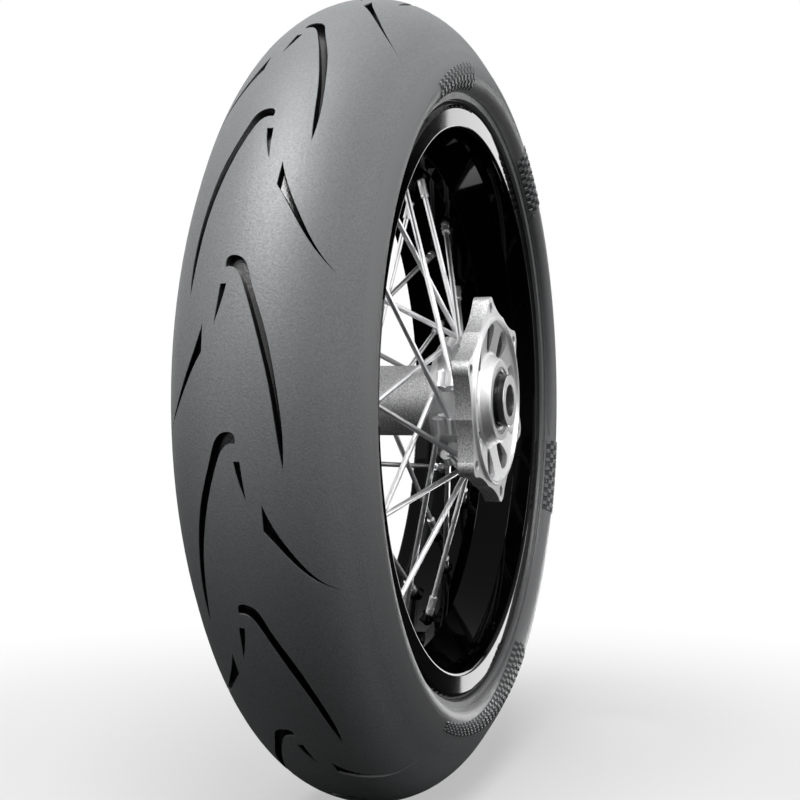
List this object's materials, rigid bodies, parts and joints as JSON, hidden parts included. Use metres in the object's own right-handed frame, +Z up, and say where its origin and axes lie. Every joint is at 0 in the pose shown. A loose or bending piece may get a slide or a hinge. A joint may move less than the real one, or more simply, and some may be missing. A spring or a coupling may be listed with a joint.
{
  "type": "motorcycle rear wheel with tyre",
  "caption": "Supermoto rear wheel: grooved road tyre on a black wire-spoked rim, machined hub with sprocket lugs, bearings, seals and axle spacers.",
  "frame": {"origin": "wheel centre, on the axle's line midway between the outer faces of the axle spacers", "axes": "+Y along the axle towards the brake-disc side, -Y the sprocket side, +Z up"},
  "size_m": [0.6119, 0.1756, 0.612],
  "materials": {
    "tyre_rubber": "matt, fine grain",
    "tube_rubber": "matt",
    "seal_rubber": "matt moulded",
    "gloss_black_rim": "gloss black anodised aluminium",
    "machined_aluminium": "machined and shot-blasted aluminium",
    "spacer_aluminium": "turned",
    "spoke_steel": "bright drawn stainless wire",
    "nipple_silver": "bright plated",
    "bearing_steel": "ground",
    "valve_brass": "plain",
    "valve_cap_plastic": "moulded"
  },
  "bodies": {
    "axle_group": {"distance_tube": "spacer_aluminium", "sprocket_side_inner_race": "bearing_steel", "brake_side_inner_race": "bearing_steel", "sprocket_side_axle_spacer": "spacer_aluminium", "brake_side_axle_spacer": "spacer_aluminium"},
    "wheel": {"tyre": "tyre_rubber", "inner_tube": "tube_rubber", "rim_tape": "tube_rubber", "rim": "gloss_black_rim", "valve_stem": "valve_brass", "valve_nut": "valve_brass", "valve_core": "valve_brass", "hub": "machined_aluminium", "spokes_sprocket_side_leading": "spoke_steel", "spokes_sprocket_side_trailing": "spoke_steel", "spokes_brake_side_leading": "spoke_steel", "spokes_brake_side_trailing": "spoke_steel", "nipples_sprocket_side_leading": "nipple_silver", "nipples_sprocket_side_trailing": "nipple_silver", "nipples_brake_side_leading": "nipple_silver", "nipples_brake_side_trailing": "nipple_silver", "sprocket_side_outer_race": "bearing_steel", "brake_side_outer_race": "bearing_steel", "sprocket_side_shields": "seal_rubber", "brake_side_shields": "seal_rubber", "sprocket_side_dust_seal": "seal_rubber", "brake_side_dust_seal": "seal_rubber", "bearing_circlip": "bearing_steel"},
    "sprocket_side_ball_set": {"sprocket_side_balls": "bearing_steel", "sprocket_side_cage": "bearing_steel"},
    "brake_side_ball_set": {"brake_side_balls": "bearing_steel", "brake_side_cage": "bearing_steel"},
    "valve_cap": {"valve_cap": "valve_cap_plastic"},
    "valve_pin": {"valve_pin": "valve_brass"}
  },
  "joints": [
    {"name": "wheel_spin", "type": "hinge", "parent": "axle_group", "child": "wheel", "pos_m": [0, 0, 0], "axis": [0, 1, 0], "continuous": true},
    {"name": "sprocket_side_balls_roll", "type": "hinge", "parent": "axle_group", "child": "sprocket_side_ball_set", "pos_m": [0, -0.0657, 0], "axis": [0, 1, 0], "continuous": true},
    {"name": "brake_side_balls_roll", "type": "hinge", "parent": "axle_group", "child": "brake_side_ball_set", "pos_m": [0, 0.0657, 0], "axis": [0, 1, 0], "continuous": true},
    {"name": "valve_cap_pull", "type": "slide", "parent": "wheel", "child": "valve_cap", "axis": [0.9205, 0, -0.3907], "range_m": [0, 0.014]},
    {"name": "valve_pin_press", "type": "slide", "parent": "wheel", "child": "valve_pin", "axis": [-0.9205, 0, 0.3907], "range_m": [0, 0.0015], "stiffness_N_per_m": 400, "springref_m": -0.002}
  ],
  "couplings": [
    {"joint": "sprocket_side_balls_roll", "follows": "wheel_spin", "ratio": 0.6031},
    {"joint": "brake_side_balls_roll", "follows": "wheel_spin", "ratio": 0.6031}
  ]
}
